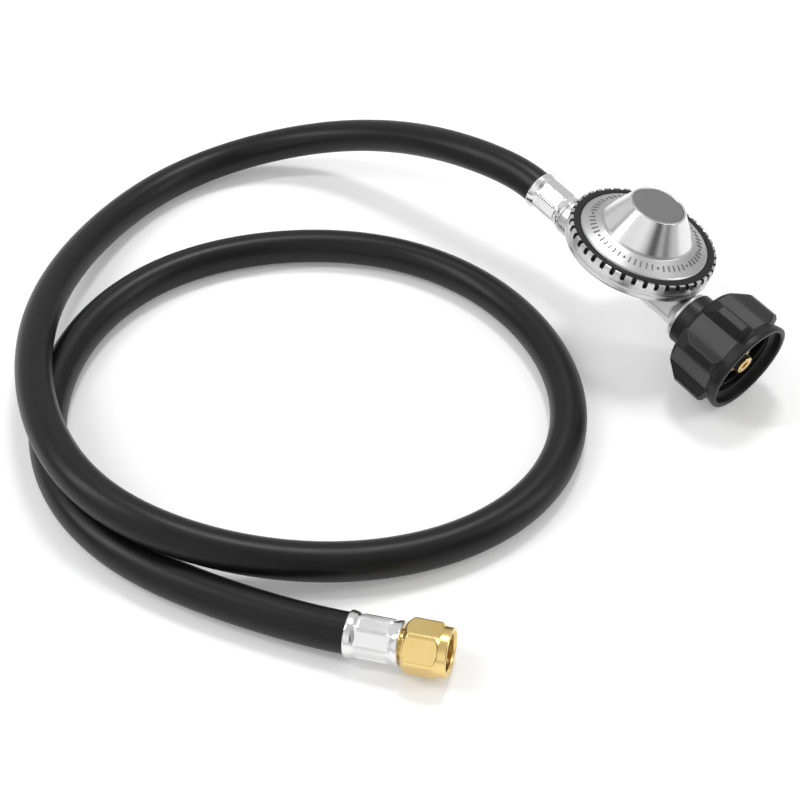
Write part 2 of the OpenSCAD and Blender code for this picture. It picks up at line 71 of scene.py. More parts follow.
HOSE_R = 8.0
FERRULE_X = 60.5
FERRULE_L = 21.0
MOUTH_DEPTH = 2.0
HEX_X0 = 22.3
HEX_L = 13.8
HEX_FLATS = 19.05
HEX_TURN = 14.0
NUT_X0 = 37.2
RIB_TURN = 24.5
RIB_COUNT = 7
NOTCH_COUNT = 42
NECK_TURN = 38
NECK_R = 8.5
RIM_R = 34.4
LIP_IN_R = 33.0
RIM_TOP = 18.2
FOOT_R = 8.6
FOOT_Z = -7.6
BOWL_SLOPE = 0.679
CHAMBER_FLOOR_Z = -6.4
GALLERY_R = 7.4
GALLERY_END_X = 6
NUT_THREAD_R = 16.4
NUT_PITCH = 5.08
RIB_TOP_R = 24.8
RIB_FOOT_R = 21
FLARE_BORE_R = 7.25
FLARE_PITCH = 1.411
SEAT_Z = 15.2
DIAPHRAGM_T = 0.7
DIAPHRAGM_R = 32.7
LOADING_Z0 = 13.4
LOADING_L = 14.6
GAS_SPRING_X0 = 55.0
GAS_SPRING_L = 4.8


# ---- Camera and cord ----


def make_camera():
    """The camera stands where the photo's did."""
    data = bpy.data.cameras.new("camera")
    data.lens = 61.65
    data.sensor_width = 36
    data.clip_start, data.clip_end = 0.01, 50
    cam = bpy.data.objects.new("camera", data)
    bpy.context.scene.collection.objects.link(cam)
    cam.location = (0.29624, -0.39211, 0.4320)
    cam.rotation_euler = (math.radians(45), 0, math.radians(50.1))
    bpy.context.scene.camera = cam
    return cam


def on_gas_line(x):
    """A point on the regulator's gas line, in metres."""
    return REGULATOR @ Vector((x * MM, 0, 0))


def on_end_axis(x):
    """A point on the end fitting's axis, in metres."""
    return END_FITTING @ Vector((x * MM, 0, 0))


# Points that steer the hose, in metres: over its own tail in a long hump, round one turn, and out
ROUTE_BENDS = [
    (-0.115, -0.010, 0.046), (-0.156, -0.018, 0.036), (-0.197, -0.035, 0.021), (-0.224, -0.069, 0.011),
    (-0.231, -0.115, 0.008), (-0.212, -0.167, 0.011), (-0.174, -0.215, 0.019), (-0.122, -0.248, 0.025),
    (-0.067, -0.262, 0.026), (-0.020, -0.249, 0.023), (0.019, -0.212, 0.012), (0.047, -0.164, 0.008),
    (0.053, -0.114, 0.008), (0.032, -0.071, 0.008), (-0.011, -0.044, 0.008), (-0.065, -0.038, 0.008),
    (-0.116, -0.057, 0.008), (-0.154, -0.099, 0.008), (-0.172, -0.150, 0.008), (-0.162, -0.200, 0.008),
    (-0.129, -0.240, 0.008), (-0.084, -0.263, 0.008), (-0.035, -0.262, 0.008), (0.008, -0.243, 0.008),
]
ROUTE = (
    [on_gas_line(MOUTH_DEPTH - FERRULE_X), on_gas_line(-75)]
    + [Vector(p) for p in ROUTE_BENDS]
    + [on_end_axis(-16), on_end_axis(MOUTH_DEPTH)]
)


def hose_line(per_span):
    """The smooth curve that the route steers: a uniform cubic B-spline through its first and last points."""
    steer = [2 * ROUTE[0] - ROUTE[1], *ROUTE, 2 * ROUTE[-1] - ROUTE[-2]]
    line = []
    for a, b, c, d in zip(steer, steer[1:], steer[2:], steer[3:]):
        for k in range(per_span):
            t = k / per_span
            line.append(
                (
                    a * (1 - t) ** 3
                    + b * (3 * t**3 - 6 * t**2 + 4)
                    + c * (-3 * t**3 + 3 * t**2 + 3 * t + 1)
                    + d * t**3
                )
                / 6
            )
    line.append(ROUTE[-1])
    return line


def mesh_object(name, points, faces, place=None):
    """A new smooth-shaded object with that mesh, its faces turned outwards, standing at place."""
    mesh = bpy.data.meshes.new(name)
    mesh.from_pydata(points, [], faces)
    bm = bmesh.new()
    bm.from_mesh(mesh)
    bmesh.ops.recalc_face_normals(bm, faces=bm.faces)
    bm.to_mesh(mesh)
    bm.free()
    mesh.polygons.foreach_set("use_smooth", [True] * len(mesh.polygons))
    obj = bpy.data.objects.new(name, mesh)
    bpy.context.scene.collection.objects.link(obj)
    if place is not None:
        obj.matrix_world = place
    return obj


def tube_along(name, line, radius, sides):
    """A closed tube round a line, with a UV map "lay": metres along it, and share of the way round."""
    points, rings = [], len(line)
    side = Vector((0, 0, 1))
    run = [0.0]
    for i, p in enumerate(line):
        along = (line[min(i + 1, rings - 1)] - line[max(i - 1, 0)]).normalized()
        side = (side - along * side.dot(along)).normalized()
        other = along.cross(side)
        for k in range(sides):
            a = 2 * math.pi * k / sides
            points.append(p + radius * (math.cos(a) * side + math.sin(a) * other))
        if i:
            run.append(run[-1] + (p - line[i - 1]).length)
    faces = [
        (i * sides + k, i * sides + (k + 1) % sides, (i + 1) * sides + (k + 1) % sides, (i + 1) * sides + k)
        for i in range(rings - 1)
        for k in range(sides)
    ]
    faces += [tuple(range(sides)), tuple(range((rings - 1) * sides, rings * sides))]
    obj = mesh_object(name, points, faces)
    lay = obj.data.uv_layers.new(name="lay")
    for poly in obj.data.polygons:
        corners = [divmod(obj.data.loops[i].vertex_index, sides) for i in poly.loop_indices]
        wraps = len(corners) == 4 and {k for _, k in corners} == {0, sides - 1}
        for i, (ring, k) in zip(poly.loop_indices, corners):
            lay.data[i].uv = (run[ring], (sides if wraps and k == 0 else k) / sides)
    return obj


make_camera()
hose = tube_along("hose_cover", hose_line(12), HOSE_R * MM, 32)
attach(hose, ROOT)
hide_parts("hose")


# ---- Shape helpers ----


def rounded(corners, fillet=0.2, closed=True, steps=4):
    """The outline with its corners rounded. A corner is (along, radius) or (along, radius, own fillet)."""
    outline, count = [], len(corners)
    for i, corner in enumerate(corners):
        p = Vector(corner[:2])
        size = corner[2] if len(corner) > 2 else fillet
        if size == 0 or (not closed and i in (0, count - 1)):
            outline.append(tuple(p))
            continue
        before = Vector(corners[i - 1][:2]) - p
        after = Vector(corners[(i + 1) % count][:2]) - p
        turn = before.angle(after, math.pi)
        if turn > math.radians(176):
            outline.append(tuple(p))
            continue
        reach = min(size / math.tan(turn / 2), 0.45 * before.length, 0.45 * after.length)
        start, end = p + before.normalized() * reach, p + after.normalized() * reach
        for k in range(steps + 1):
            t = k / steps
            outline.append(tuple(start * (1 - t) ** 2 + p * 2 * t * (1 - t) + end * t**2))
    return outline


def even_angles(count):
    return [2 * math.pi * k / count for k in range(count)]


def turned(name, stations, place, axis="X", angles=None, closed=True, sharp=None):
    """A mesh turned about an axis. A station is (along, radius); the radius may be a function of the angle.

    A closed list of stations makes a ring-shaped piece; an open one starts and ends on the axis.
    Angles run from local +Z towards -Y for axis X, as rotate([a, 0, 0]) turns in the CAD source.
    """
    angles = angles or even_angles(96)
    points, rows = [], []
    for along, radius in stations:
        row = []
        for a in angles:
            r = radius(a) if callable(radius) else radius
            if axis == "X":
                p = (along, -r * math.sin(a), r * math.cos(a))
            else:
                p = (r * math.cos(a), r * math.sin(a), along)
            row.append(len(points))
            points.append(tuple(c * MM for c in p))
            if r == 0:
                break
        rows.append(row)
    pairs = list(zip(rows, rows[1:]))
    if closed:
        pairs.append((rows[-1], rows[0]))
    faces, n = [], len(angles)
    for low, high in pairs:
        for k in range(n):
            j = (k + 1) % n
            corners = [low[k % len(low)], low[j % len(low)], high[j % len(high)], high[k % len(high)]]
            face = list(dict.fromkeys(corners))
            if len(face) > 2:
                faces.append(face)
    obj = mesh_object(name, points, faces, place)
    if sharp is not None:
        obj.data.set_sharp_from_angle(angle=math.radians(sharp))
    return obj


def lathe(name, corners, place, axis="X", fillet=0.2, closed=True, sides=96):
    """A plain turned piece whose corners are rounded."""
    return turned(name, rounded(corners, fillet, closed), place, axis, even_angles(sides), closed)


def soft_max(a, b, k):
    """The larger of two numbers, with the corner between them rounded over k."""
    h = max(k - abs(a - b), 0) / k
    return max(a, b) + h * h * k / 4


def soft_min(a, b, k):
    return -soft_max(-a, -b, k)


def smooth_step(x, x0, x1):
    t = min(max((x - x0) / (x1 - x0), 0), 1)
    return t * t * (3 - 2 * t)


def mix(a, b, t):
    return a + (b - a) * t


def stand_in(obj, body, slot, *nodes):
    """obj rides on a body and stands for CAD nodes. The slot argument is not used."""
    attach(obj, body)
    if nodes:
        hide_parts(*nodes)
    return obj


# ---- Materials ----

NOISE_LOW, NOISE_HIGH = 0.3, 0.7


class Nodes:
    """A short way to write a material's nodes."""

    def __init__(self, name):
        self.material = bpy.data.materials.new(name)
        self.material.use_nodes = True
        self.tree = self.material.node_tree
        self.shader = self.tree.nodes["Principled BSDF"]
        self.coords = self.add("ShaderNodeTexCoord").outputs["Object"]

    def add(self, kind, **values):
        node = self.tree.nodes.new(kind)
        for key, value in values.items():
            setattr(node, key, value)
        return node

    def link(self, source, target):
        self.tree.links.new(source, target)

    def noise(self, scale, detail=4.0, rough=0.5, stretch=None, coords=None):
        """Noise from 0 to 1 over the object's own coordinates."""
        node = self.add("ShaderNodeTexNoise")
        node.inputs["Scale"].default_value = scale
        node.inputs["Detail"].default_value = detail
        node.inputs["Roughness"].default_value = rough
        source = coords or self.coords
        if stretch:
            mapping = self.add("ShaderNodeMapping")
            mapping.inputs["Scale"].default_value = stretch
            self.link(source, mapping.inputs["Vector"])
            source = mapping.outputs["Vector"]
        self.link(source, node.inputs["Vector"])
        return node.outputs["Fac"]

    def ramp(self, source, low, high):
        """Turns noise into a number from low to high."""
        node = self.add("ShaderNodeMapRange")
        node.inputs["From Min"].default_value = NOISE_LOW
        node.inputs["From Max"].default_value = NOISE_HIGH
        node.inputs["To Min"].default_value = low
        node.inputs["To Max"].default_value = high
        self.link(source, node.inputs["Value"])
        return node.outputs["Result"]

    def blend(self, source, low, high):
        """Turns noise into a colour from low to high."""
        node = self.add("ShaderNodeValToRGB")
        stops = node.color_ramp.elements
        stops[0].position, stops[1].position = NOISE_LOW, NOISE_HIGH
        stops[0].color, stops[1].color = (*low, 1), (*high, 1)
        self.link(source, node.inputs["Fac"])
        return node.outputs["Color"]

    def bump(self, source, distance, after=None):
        node = self.add("ShaderNodeBump")
        node.inputs["Strength"].default_value = 1.0
        node.inputs["Distance"].default_value = distance
        self.link(source, node.inputs["Height"])
        if after:
            self.link(after, node.inputs["Normal"])
        return node.outputs["Normal"]


def metal(name, low, high, rough, rough_spread, grain, grain_depth, stretch=None):
    """A metal with faint clouding, uneven gloss and fine grain."""
    n = Nodes(name)
    clouds = n.noise(90, 3)
    fine = n.noise(grain, 3, 0.6, stretch)
    n.link(n.bump(fine, grain_depth), n.shader.inputs["Normal"])
    n.shader.inputs["Metallic"].default_value = 1.0
    n.link(n.blend(clouds, low, high), n.shader.inputs["Base Color"])
    n.link(n.ramp(fine, rough - rough_spread, rough + rough_spread), n.shader.inputs["Roughness"])
    return n.material


def dull(name, low, high, rough, rough_spread, grain, grain_depth, specular=0.5):
    """A plastic, rubber or paint with mottled colour and a fine moulded grain."""
    n = Nodes(name)
    clouds = n.noise(60, 4)
    fine = n.noise(grain, 2, 0.6)
    n.link(n.bump(fine, grain_depth), n.shader.inputs["Normal"])
    n.shader.inputs["Specular IOR Level"].default_value = specular
    n.link(n.blend(clouds, low, high), n.shader.inputs["Base Color"])
    n.link(n.ramp(clouds, rough - rough_spread, rough + rough_spread), n.shader.inputs["Roughness"])
    return n.material


def grey(value):
    return (value, value, value)


def hose_rubber():
    """Satin black extruded rubber: faint draw lines along it and a soft bloom."""
    n = Nodes("hose_rubber")
    lay = n.add("ShaderNodeUVMap", uv_map="lay").outputs["UV"]
    lines = n.noise(60, 2, 0.5, (0.35, 1.0, 1.0), lay)
    fine = n.noise(1800, 2, 0.6)
    bloom = n.noise(28, 5, 0.6)
    normal = n.bump(lines, 0.00004)
    normal = n.bump(fine, 0.00001, after=normal)
    n.link(normal, n.shader.inputs["Normal"])
    n.shader.inputs["Specular IOR Level"].default_value = 0.28
    n.link(n.blend(bloom, grey(0.004), grey(0.007)), n.shader.inputs["Base Color"])
    n.link(n.ramp(bloom, 0.33, 0.41), n.shader.inputs["Roughness"])
    return n.material


MATERIALS = {
    "hose_rubber": hose_rubber(),
    "die_cast": metal("die_cast", grey(0.62), grey(0.68), 0.32, 0.03, 700, 0.000002),
    # Dark metal for the walls of the bowl's notches: painted shade, and a painted reflection of the dark
    # seal, in place of the shade that falls in the notches.
    "notch_painted_shade": metal("notch_painted_shade", grey(0.16), grey(0.22), 0.45, 0.04, 900, 0.000004),
    "satin_plate": metal("satin_plate", grey(0.47), grey(0.52), 0.36, 0.03, 1600, 0.000003),
    "polished": metal("polished", grey(0.72), grey(0.76), 0.20, 0.02, 700, 0.000001, (1, 1, 6)),
    "cap_grey": metal("cap_grey", grey(0.25), grey(0.28), 0.50, 0.04, 2200, 0.00001),
    "chrome": metal("chrome", grey(0.78), grey(0.82), 0.20, 0.02, 500, 0.0000008, (0.3, 1, 1)),
    "steel": metal("steel", grey(0.50), grey(0.58), 0.30, 0.05, 900, 0.00002),
    "brass": metal("brass", (0.78, 0.55, 0.20), (0.84, 0.62, 0.25), 0.24, 0.05, 900, 0.00001, (4, 1, 1)),
    "pale_brass": metal(
        "pale_brass", (0.81, 0.59, 0.22), (0.85, 0.64, 0.27), 0.24, 0.03, 700, 0.000004, (4, 1, 1)
    ),
    "bronze": metal("bronze", (0.40, 0.27, 0.13), (0.52, 0.37, 0.2), 0.55, 0.05, 2500, 0.0001),
    "nut_nylon": dull("nut_nylon", grey(0.005), grey(0.008), 0.40, 0.04, 2600, 0.00001, 0.3),
    "nut_land": dull("nut_land", grey(0.060), grey(0.072), 0.62, 0.04, 3200, 0.00003, 0.35),
    "mark_metal": metal("mark_metal", grey(0.14), grey(0.19), 0.40, 0.03, 900, 0.000004),
    "seal_rubber": dull("seal_rubber", grey(0.006), grey(0.01), 0.45, 0.05, 2000, 0.00001, 0.3),
    "acetal": dull("acetal", (0.62, 0.59, 0.5), (0.7, 0.67, 0.58), 0.4, 0.05, 900, 0.00001),
    "bushing_plastic": dull(
        "bushing_plastic", (0.05, 0.07, 0.03), (0.07, 0.09, 0.04), 0.45, 0.05, 900, 0.00002
    ),
}


def paint(obj, *names):
    """Gives a piece its materials."""
    obj.data.materials.clear()
    for name in names:
        obj.data.materials.append(MATERIALS[name])
    return obj


paint(hose, "hose_rubber")

# ---- Regulator body ----


def rim_outline():
    """Top edge of the crimped lip, as (angle, height) points all the way round."""
    edge, pitch = [], 2 * math.pi / NOTCH_COUNT
    half, foot, top = 1.0 / 33.7, 16.5, RIM_TOP
    for i in range(NOTCH_COUNT):
        middle = (i + 0.5) * pitch
        edge.append((middle - pitch / 2, top, "tooth"))
        edge.append((middle - half, top, "side"))
        for k in range(9):
            a = math.pi * k / 8
            edge.append((middle - half * math.cos(a), foot - math.sin(a), "foot"))
        edge.append((middle + half, top, "side"))
    return edge


def cut_valve_bore(obj):
    """Opens the wall of the bowl where the poppet slides, inside the inlet neck."""
    corners = [(5, 0), (5, 4.9), (30, 4.9), (30, 0)]
    cutter = lathe("cutter", corners, REGULATOR, fillet=0, closed=False, sides=48)
    cut = obj.modifiers.new("valve_bore", "BOOLEAN")
    cut.object, cut.solver = cutter, "EXACT"
    graph = bpy.context.evaluated_depsgraph_get()
    obj.data = bpy.data.meshes.new_from_object(obj.evaluated_get(graph))
    obj.modifiers.remove(cut)
    bpy.data.objects.remove(cutter)


def bowl():
    """Cast bowl with its crimped lip: a turned shell whose rim is cut by round-footed notches."""
    outside = [(8, FOOT_Z), (FOOT_R, FOOT_Z), (33.2, 9.1), (34.05, 9.6), (RIM_R, 10.4), (RIM_R, 12.1)]
    outside += [(34.15, 12.7), (34.15, 13.4), (RIM_R, 14)]
    inside = [(28, SEAT_Z), (28, 6.5), (9, CHAMBER_FLOOR_Z)]
    edge = rim_outline()
    columns = sorted({round(a, 9) for a, _, _ in edge})
    index = {a: k for k, a in enumerate(columns)}
    points, faces = [], []

    def ring(r, z):
        row = []
        for a in columns:
            row.append(len(points))
            points.append((r * math.cos(a), r * math.sin(a), z))
        return row

    def skin(low, high):
        n = len(columns)
        for k in range(n):
            faces.append((low[k], low[(k + 1) % n], high[(k + 1) % n], high[k]))

    outline = [(z, r) for r, z in outside]
    rows = [ring(r, z) for z, r in rounded(outline, 0.3, closed=False, steps=3)]
    for low, high in zip(rows, rows[1:]):
        skin(low, high)
    points.append((0, 0, FOOT_Z))
    bottom = len(points) - 1
    first = rows[0]
    faces.extend((bottom, first[(k + 1) % len(first)], first[k]) for k in range(len(first)))

    # The lip's outer and inner edges follow the notches
    lip = {}
    for wall, radius in (("out", RIM_R), ("in", LIP_IN_R)):
        lip[wall] = []
        for a, z, _ in edge:
            shave = 0.35 * smooth_step(z, 17.4, RIM_TOP) if wall == "out" else 0
            lip[wall].append(len(points))
            points.append(((radius - shave) * math.cos(a), (radius - shave) * math.sin(a), z))
    count = len(edge)
    inner_foot = ring(LIP_IN_R, SEAT_Z)
    for k in range(count):
        j = (k + 1) % count
        faces.append((lip["out"][k], lip["out"][j], lip["in"][j], lip["in"][k]))
        if round(edge[k][0], 9) == round(edge[j][0], 9):
            continue
        for wall, base in (("out", rows[-1]), ("in", inner_foot)):
            b0, b1 = base[index[round(edge[k][0], 9)]], base[index[round(edge[j][0], 9)]]
            corners = [b0, b1]
            if edge[k][2] == "tooth":
                corners.append(lip[wall][(k + 2) % count])
            corners.append(lip[wall][j])
            corners.append(lip[wall][k])
            if edge[j][2] == "tooth":
                corners.append(lip[wall][k - 1])
            faces.append(tuple(corners))
    rows = [inner_foot] + [ring(r, z) for r, z in inside]
    for low, high in zip(rows, rows[1:]):
        skin(low, high)
    points.append((0, 0, CHAMBER_FLOOR_Z))
    floor, last = len(points) - 1, rows[-1]
    faces.extend((floor, last[k], last[(k + 1) % len(last)]) for k in range(len(last)))

    obj = mesh_object("bowl", [tuple(c * MM for c in p) for p in points], faces, REGULATOR)
    cut_valve_bore(obj)
    bevel = obj.modifiers.new("soft_edges", "BEVEL")
    bevel.width, bevel.segments = 0.12 * MM, 2
    bevel.limit_method, bevel.angle_limit = "ANGLE", math.radians(40)
    obj.data.set_sharp_from_angle(angle=math.radians(50))
    # The walls of the notches take the dark metal: painted shade, and a painted reflection of the dark seal.
    paint(obj, "die_cast", "notch_painted_shade")
    for poly in obj.data.polygons:
        r, z = math.hypot(poly.center.x, poly.center.y) / MM, poly.center.z / MM
        painted_shade_notch = 33.3 < r < 34.0 and 15.4 < z < 18.0
        poly.material_index = 1 if painted_shade_notch else 0
    return obj


def neck():
    """Hexagonal inlet neck with the nut's shoulder. It carries the valve's boss inside the bowl."""

    def hexagon(a):
        off = (a - math.radians(NECK_TURN)) % (math.pi / 3) - math.pi / 6
        return soft_min(NECK_R * math.cos(math.pi / 6) / math.cos(off), 8.32, 0.2)

    def outside(x):
        cone = 7.4 + 3.4 * (x - 31) / 4.2
        return lambda a: soft_max(hexagon(a), cone, 0.3)

    stations = [(5, 4), (5, hexagon)]
    stations += [(5.5 + k, hexagon) for k in range(23)]
    stations += [(28.5 + 0.25 * k, outside(28.5 + 0.25 * k)) for k in range(27)]
    ring = [(35.2, 10.9), (35.4, 11.6, 0.2), (36.9, 11.6, 0.3), (36.9, 6.6), (26, 6.6), (26, 4.8)]
    ring += [(18.15, 4.8), (18.15, 4)]
    stations += rounded(ring, 0.1, closed=False)[1:]
    angles = [math.radians(NECK_TURN + 60 * i + d) for i in range(6) for d in range(0, 60, 2)]
    return paint(turned("inlet_neck", stations, REGULATOR, angles=angles, sharp=50), "die_cast")


def outlet_boss():
    """Boss that the hose's barb screws into, and the gas way that runs on from it under the bowl."""
    corners = [(-39.2, 6.6), (-39.2, 9, 0.6), (-30, 9, 2), (-26, GALLERY_R, 2)]
    corners += [(x, GALLERY_R, 0) for x in range(-24, GALLERY_END_X + 1, 2)]
    corners += [(GALLERY_END_X, 0), (-28, 0), (-28, 6.6)]
    obj = lathe("outlet_boss", corners, REGULATOR)
    for vertex in obj.data.vertices:
        x, y, z = vertex.co / MM
        wall = FOOT_Z + 0.6 + BOWL_SLOPE * (math.hypot(x, y) - FOOT_R)
        if x > -28 and z > wall:
            vertex.co.z = wall * MM
    return paint(obj, "die_cast")


def pin_ears():
    """Two ears that hold the lever's pin, standing on the chamber's floor."""
    points, faces = [], []
    for y in (-4.6, 2.8):
        first = len(points)
        for dy in (0, 1.8):
            points += [(-16.2, y + dy, -6), (-11.8, y + dy, -6)]
            for k in range(9):
                a = math.pi * k / 8
                points.append((-14 + 2.2 * math.cos(a), y + dy, 8 + 2.2 * math.sin(a)))
        n = (len(points) - first) // 2
        faces += [tuple(first + k for k in range(n)), tuple(first + n + k for k in range(n))]
        for k in range(n):
            j = (k + 1) % n
            faces.append((first + k, first + j, first + n + j, first + n + k))
    obj = mesh_object("pin_ears", [tuple(c * MM for c in p) for p in points], faces, REGULATOR)
    return paint(obj, "die_cast")


for piece in (bowl(), neck(), outlet_boss(), pin_ears()):
    stand_in(piece, ROOT, "cast_body", "lower_body")

# ---- Bonnet ----

PLATE_START, PLATE_END = (29.2, 18.8), (21.4, 22.2)


def bonnet():
    """Pressed cover: satin plate with a rolled edge, and a polished tower with a thin rim."""
    corners = [
        (16, 32.8), (16.9, 32.8), (16.9, 29.8), (18.3, 29.8, 0.5), (18.85, 29.1, 0.6),
        (22.25, 21.3, 1.2), (23.2, 20.6, 0.5), (34.7, 13.2, 0.6), (35.3, 12.8, 0.35),
        (35.3, 11.9, 0.3), (33.7, 11.9), (33.7, 10.4),
        (26.5, 10.4), (26.5, 11.4), (20.6, 17.6), (17.2, 27.2), (16, 27.4),
    ]
    obj = turned("bonnet_cover", rounded(corners, 0.2), REGULATOR, "Z", even_angles(144))
    paint(obj, "satin_plate", "polished")
    for poly in obj.data.polygons:
        r, z = math.hypot(poly.center.x, poly.center.y) / MM, poly.center.z / MM
        on_tower = z > 23.0 and r > 11.4
        poly.material_index = 1 if on_tower else 0
    return obj


def raised_mark(points, faces, r, angle, length, width, height=0.28):
    """One plain raised bar on the bonnet's plate, pointing at the tower, with sloping sides."""
    slope = math.atan2(PLATE_END[1] - PLATE_START[1], PLATE_START[0] - PLATE_END[0])
    z = PLATE_START[1] + (PLATE_START[0] - r) * math.tan(slope)
    out = Vector((math.cos(angle), math.sin(angle), 0))
    across = Vector((-math.sin(angle), math.cos(angle), 0))
    normal = (out * math.sin(slope) + Vector((0, 0, math.cos(slope)))).normalized()
    down = (out * math.cos(slope) - Vector((0, 0, math.sin(slope)))).normalized()
    middle = out * r + Vector((0, 0, z))
    first, n = len(points), 12
    for lift, shrink in ((-0.15, 0.0), (height - 0.1, 0.06), (height, 0.2)):
        for k in range(n):
            a = 2 * math.pi * (k + 0.5) / n
            half_w = width / 2 - shrink
            u = half_w * math.cos(a)
            v = half_w * math.sin(a) + math.copysign(length / 2 - width / 2, math.sin(a))
            points.append(middle + across * u + down * v + normal * lift)
    for level in range(2):
        low, high = first + level * n, first + (level + 1) * n
        faces.extend((low + k, low + (k + 1) % n, high + (k + 1) % n, high + k) for k in range(n))
    faces.append(tuple(first + k for k in range(n)))
    faces.append(tuple(first + 2 * n + k for k in range(n)))


def bonnet_marks():
    """A plain ring of raised bars round the plate, every sixth one replaced by a dot."""
    points, faces = [], []
    count, ring_r = 60, 25.0
    for i in range(count):
        length, width = (1.3, 1.3) if i % 6 == 0 else (3.0, 0.75)
        raised_mark(points, faces, ring_r, 2 * math.pi * i / count, length, width)
    obj = mesh_object("bonnet_marks", [tuple(p * MM) for p in points], faces, REGULATOR)
    obj.data.set_sharp_from_angle(angle=math.radians(45))
    return paint(obj, "mark_metal")


def cap_disc():
    """Grey disc in the top of the tower, with a shallow turned dish."""
    corners = [(33.75, 0), (33.75, 11.85), (34.9, 11.85, 0.3), (35.1, 11.2, 0.3), (35.02, 8, 2), (35.0, 0)]
    return paint(lathe("cap_disc", corners, REGULATOR, "Z", closed=False), "cap_grey")


def rim_seal():
    """Rubber ring between the bonnet's plate and the crimped teeth."""
    corners = [(16.95, 29.85), (16.95, 32.84), (15.6, 32.84), (15.6, 32.97), (18.0, 32.97, 0.4)]
    corners += [(18.55, 32.3, 0.5), (18.6, 30.5, 0.5), (18.0, 29.85, 0.3)]
    return paint(lathe("rim_seal", corners, REGULATOR, "Z", sides=144), "seal_rubber")


stand_in(bonnet(), ROOT, "bonnet_metal", "bonnet")
stand_in(bonnet_marks(), ROOT, "bonnet_metal")
stand_in(cap_disc(), ROOT, "cap_grey", "tower_cap")
stand_in(rim_seal(), ROOT, "seal_rubber", "seal_ring")

# ---- Cylinder nut ----


def thread_depth(x, a, pitch, depth, x0, x1, run_out):
    """Depth of a right-hand thread's groove at x and angle a. Its flanks slope and its ends run out."""
    phase = (x / pitch - a / (2 * math.pi)) % 1
    groove = smooth_step(0.5 - abs(phase - 0.5), 0.16, 0.34)
    fade = smooth_step(x, x0, x0 + run_out) * (1 - smooth_step(x, x1 - run_out, x1))
    return depth * groove * fade


def from_rib(a):
    """Angle from the middle of the nearest grip rib."""
    pitch = 2 * math.pi / RIB_COUNT
    return (a - math.radians(RIB_TURN) + pitch / 2) % pitch - pitch / 2


def rib_height(u, a):
    """Radius of the nearest rib's faces at u and angle a: a flat top, sloping flanks and hipped ends."""
    off = from_rib(a)
    rise, run = 3.8, 2.2
    top = RIB_TOP_R / math.cos(off)
    flank = (rise * 4.2 + run * RIB_FOOT_R) / (rise * abs(math.sin(off)) + run * math.cos(off))
    back = (RIB_FOOT_R + (u - 10) * rise / 5.5) / math.cos(off)
    front = (RIB_TOP_R - (u - 29.5) * rise / 3) / math.cos(off)
    return soft_min(soft_min(top, flank, 0.3), soft_min(back, front, 0.3), 0.3)


def nut_angles():
    """Angles with close steps over the ribs and wide ones between them."""
    pitch = 360 / RIB_COUNT
    close = [-14 + 0.7 * k for k in range(41)]
    wide = [14 + (pitch - 28) * k / 8 for k in range(1, 8)]
    return [math.radians(RIB_TURN + i * pitch + d) for i in range(RIB_COUNT) for d in close + wide]


def cylinder_nut():
    """Hand nut: grip ribs outside, and the cylinder's thread inside."""
    corners = [(0, 12.4, 0.5), (6.4, 12.4, 0.6), (7.6, 13.6, 0.6), (8.6, 20.2, 0.5), (9.6, 20.75, 0.5)]
    corners += [(30.5, 21.0, 2), (34.4, 22.0, 1.2), (35.6, 22.0, 0.4), (36, 21.4, 0.3), (36, 20.1, 0.3)]
    corners += [(35.4, 19.6, 0.3), (32.4, 19.4, 0.2), (31.4, NUT_THREAD_R, 0.2), (17.6, NUT_THREAD_R, 0.3)]
    corners += [(13, 14.4, 0.3), (13, 9.55), (8.6, 9.55), (8.6, 9), (0, 9)]
    outline = rounded(corners, 0.2)

    def grip(u, r):
        return lambda a: soft_max(r, rib_height(u, a), 0.35)

    def thread(u, r):
        return lambda a: r + thread_depth(u, a, NUT_PITCH, 2.1, 17.6, 31.6, 1.6)

    stations = []
    for (u0, r0), (u1, r1) in zip(outline, outline[1:] + outline[:1]):
        ribbed = 9.5 < u0 and u1 < 34 and min(r0, r1) > 20.5
        threaded = abs(r0 - NUT_THREAD_R) < 0.05 and abs(r1 - NUT_THREAD_R) < 0.05
        steps = max(1, round(abs(u1 - u0) / 0.35)) if ribbed or threaded else 1
        for k in range(steps):
            u, r = mix(u0, u1, k / steps), mix(r0, r1, k / steps)
            radius = grip(u, r) if ribbed else thread(u, r) if threaded else r
            stations.append((NUT_X0 + u, radius))
    obj = turned("cylinder_nut_grip", stations, REGULATOR, angles=nut_angles())
    paint(obj, "nut_nylon", "nut_land")
    for poly in obj.data.polygons:
        x, y, z = poly.center / MM
        outside = 10 < x - NUT_X0 < 30.2 and math.hypot(y, z) > 20.5
        between_ribs = abs(from_rib(math.atan2(-y, z))) > math.radians(13)
        poly.material_index = 1 if outside and between_ribs else 0
    return obj


stand_in(cylinder_nut(), "cylinder_nut", "nut_nylon", "cylinder_nut")

# ---- Nipple ----


def nose():
    """Brass nose in the nut's mouth, with the groove for its seal."""
    x0, x1 = NUT_X0 + 28, NUT_X0 + 33.5
    corners = [(x0, 1.8), (x1, 1.8, 0.35), (x1, 4.2, 0.5), (x0 + 4.6, 4.2, 0.1), (x0 + 4.6, 3.4, 0.1)]
    corners += [(x0 + 2.9, 3.4, 0.1), (x0 + 2.9, 4.2, 0.1), (x0, 4.2)]
    return paint(lathe("nose", corners, REGULATOR), "brass")


stand_in(nose(), ROOT, "brass", "nipple_nose")

# ---- Ferrules ----


